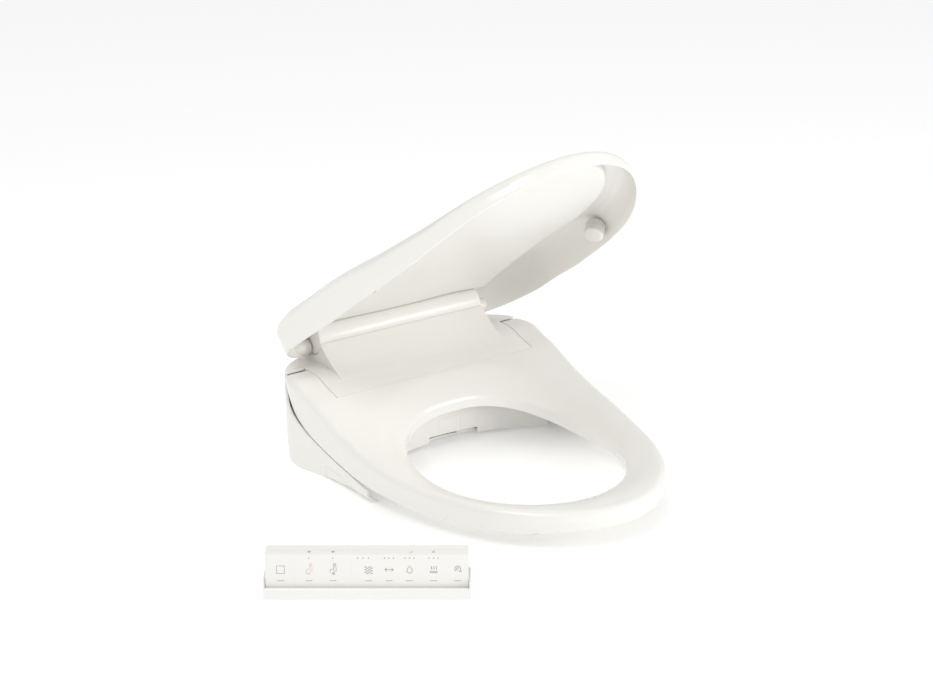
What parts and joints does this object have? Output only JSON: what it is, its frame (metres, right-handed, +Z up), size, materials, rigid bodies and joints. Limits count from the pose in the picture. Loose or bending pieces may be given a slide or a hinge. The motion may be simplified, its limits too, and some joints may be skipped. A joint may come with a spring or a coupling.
{
  "type": "electric bidet seat",
  "caption": "Electric bidet seat with a lid held half open, a dished seat ring, a sliding wash nozzle and a cordless remote control in its holder.",
  "frame": {"origin": "middle of the mounting plate's underside, which lies on the toilet bowl", "axes": "+Z up, -Y towards the front of the seat, X across, with X = 0 on the seat's plane of symmetry"},
  "size_m": [0.6172, 0.5319, 0.4553],
  "materials": {
    "casing": "warm white satin moulding",
    "seat_plastic": "warm white, soft gloss",
    "seat_underside": "plain moulded underside",
    "lid_plastic": "warm white, soft gloss",
    "lid_liner_plastic": "satin inner panel",
    "remote_plastic": "white satin moulding",
    "key_plastic": "flush keys with printed pictograms",
    "buffer_rubber": "pale soft rubber",
    "works_plastic": "grey engineering plastic",
    "nozzle_plastic": "white moulding",
    "steel": "machined steel",
    "brass": "machined brass",
    "board": "solder mask",
    "heater_foil": "copper coloured heater foil"
  },
  "bodies": {
    "root": {"base_plate": "seat_underside", "side_panel_left": "casing", "side_panel_right": "casing", "rear_panel": "casing", "front_wall": "casing", "deck_left": "casing", "deck_right": "casing", "top_cover": "casing", "hinge_housing": "casing", "mounting_plate": "works_plastic", "lid_drive": "steel", "seat_drive": "steel", "nozzle_rail": "works_plastic", "nozzle_motor": "steel", "flow_heater": "works_plastic", "inlet_valve": "brass", "inlet_nipple": "brass", "cable_gland": "buffer_rubber", "dryer_housing": "works_plastic", "deodoriser_cartridge": "works_plastic", "control_board": "board", "drain_plug": "works_plastic", "dryer_grille": "casing", "remote_holder": "remote_plastic"},
    "seat": {"seat_top_shell": "seat_plastic", "seat_base_shell": "seat_underside", "seat_heater_sheet": "heater_foil", "seat_buffer_front_left": "buffer_rubber", "seat_buffer_front_right": "buffer_rubber", "seat_buffer_rear_left": "buffer_rubber", "seat_buffer_rear_right": "buffer_rubber", "seat_hinge_bush_left": "steel", "seat_hinge_bush_right": "steel"},
    "lid": {"lid_shell": "lid_plastic", "lid_liner": "lid_liner_plastic", "lid_buffer_left": "buffer_rubber", "lid_buffer_right": "buffer_rubber", "lid_hinge_boss_left": "lid_plastic", "lid_hinge_boss_right": "lid_plastic"},
    "nozzle": {"nozzle_wand": "nozzle_plastic", "nozzle_tip": "steel"},
    "shutter": {"nozzle_shutter": "casing"},
    "impeller": {"dryer_impeller": "nozzle_plastic"},
    "drain_cover_body": {"drain_cover": "casing"},
    "release": {"release_button": "casing"},
    "handset": {"handset_front": "remote_plastic", "handset_back": "remote_plastic", "battery_cover": "remote_plastic"},
    "key_stop_body": {"key_stop": "key_plastic"},
    "key_front_body": {"key_front": "key_plastic"},
    "key_rear_body": {"key_rear": "key_plastic"},
    "key_massage_body": {"key_massage": "key_plastic"},
    "key_position_body": {"key_position": "key_plastic"},
    "key_water_heat_body": {"key_water_heat": "key_plastic"},
    "key_seat_heat_body": {"key_seat_heat": "key_plastic"},
    "key_dryer_body": {"key_dryer": "key_plastic"},
    "key_clean_front_body": {"key_clean_front": "key_plastic"},
    "key_clean_rear_body": {"key_clean_rear": "key_plastic"},
    "key_lid_up_body": {"key_lid_up": "key_plastic"},
    "key_seat_up_body": {"key_seat_up": "key_plastic"}
  },
  "joints": [
    {"name": "lid_hinge", "type": "hinge", "parent": "root", "child": "lid", "pos_m": [0, 0.046, 0.143], "axis": [-1, 0, 0], "range_deg": [-47, 63]},
    {"name": "seat_hinge", "type": "hinge", "parent": "root", "child": "seat", "pos_m": [0, 0.006, 0.104], "axis": [-1, 0, 0], "range_deg": [0, 40]},
    {"name": "nozzle_slide", "type": "slide", "parent": "root", "child": "nozzle", "axis": [0, -0.8192, -0.5736], "range_m": [0, 0.1]},
    {"name": "shutter_hinge", "type": "hinge", "parent": "root", "child": "shutter", "pos_m": [0.015, -0.061, 0.033], "axis": [-1, 0, 0], "range_deg": [0, 95.5]},
    {"name": "impeller_spin", "type": "hinge", "parent": "root", "child": "impeller", "pos_m": [0.118, -0.008, 0.026], "axis": [0, 0, 1], "continuous": true},
    {"name": "drain_cover_slide", "type": "slide", "parent": "root", "child": "drain_cover_body", "axis": [-1, 0, 0], "range_m": [0, 0.015]},
    {"name": "release_button_press", "type": "slide", "parent": "root", "child": "release", "axis": [-1, 0, 0], "range_m": [0, 0.003], "stiffness_N_per_m": 900},
    {"name": "handset_lift", "type": "slide", "parent": "root", "child": "handset", "axis": [0, 0, 1], "range_m": [0, 0.06]},
    {"name": "key_stop_press", "type": "slide", "parent": "handset", "child": "key_stop_body", "axis": [0.5819, 0.8009, -0.1414], "range_m": [0, 0.0006], "stiffness_N_per_m": 800},
    {"name": "key_front_press", "type": "slide", "parent": "handset", "child": "key_front_body", "axis": [0.5819, 0.8009, -0.1414], "range_m": [0, 0.0006], "stiffness_N_per_m": 800},
    {"name": "key_rear_press", "type": "slide", "parent": "handset", "child": "key_rear_body", "axis": [0.5819, 0.8009, -0.1414], "range_m": [0, 0.0006], "stiffness_N_per_m": 800},
    {"name": "key_massage_press", "type": "slide", "parent": "handset", "child": "key_massage_body", "axis": [0.5819, 0.8009, -0.1414], "range_m": [0, 0.0006], "stiffness_N_per_m": 800},
    {"name": "key_position_press", "type": "slide", "parent": "handset", "child": "key_position_body", "axis": [0.5819, 0.8009, -0.1414], "range_m": [0, 0.0006], "stiffness_N_per_m": 800},
    {"name": "key_water_heat_press", "type": "slide", "parent": "handset", "child": "key_water_heat_body", "axis": [0.5819, 0.8009, -0.1414], "range_m": [0, 0.0006], "stiffness_N_per_m": 800},
    {"name": "key_seat_heat_press", "type": "slide", "parent": "handset", "child": "key_seat_heat_body", "axis": [0.5819, 0.8009, -0.1414], "range_m": [0, 0.0006], "stiffness_N_per_m": 800},
    {"name": "key_dryer_press", "type": "slide", "parent": "handset", "child": "key_dryer_body", "axis": [0.5819, 0.8009, -0.1414], "range_m": [0, 0.0006], "stiffness_N_per_m": 800},
    {"name": "key_clean_front_press", "type": "slide", "parent": "handset", "child": "key_clean_front_body", "axis": [0.0479, 0.0659, -0.9967], "range_m": [0, 0.0006], "stiffness_N_per_m": 800},
    {"name": "key_clean_rear_press", "type": "slide", "parent": "handset", "child": "key_clean_rear_body", "axis": [0.0479, 0.0659, -0.9967], "range_m": [0, 0.0006], "stiffness_N_per_m": 800},
    {"name": "key_lid_up_press", "type": "slide", "parent": "handset", "child": "key_lid_up_body", "axis": [0.0479, 0.0659, -0.9967], "range_m": [0, 0.0006], "stiffness_N_per_m": 800},
    {"name": "key_seat_up_press", "type": "slide", "parent": "handset", "child": "key_seat_up_body", "axis": [0.0479, 0.0659, -0.9967], "range_m": [0, 0.0006], "stiffness_N_per_m": 800}
  ],
  "couplings": [
    {"joint": "shutter_hinge", "follows": "nozzle_slide", "rad_per_m": 16.581}
  ]
}
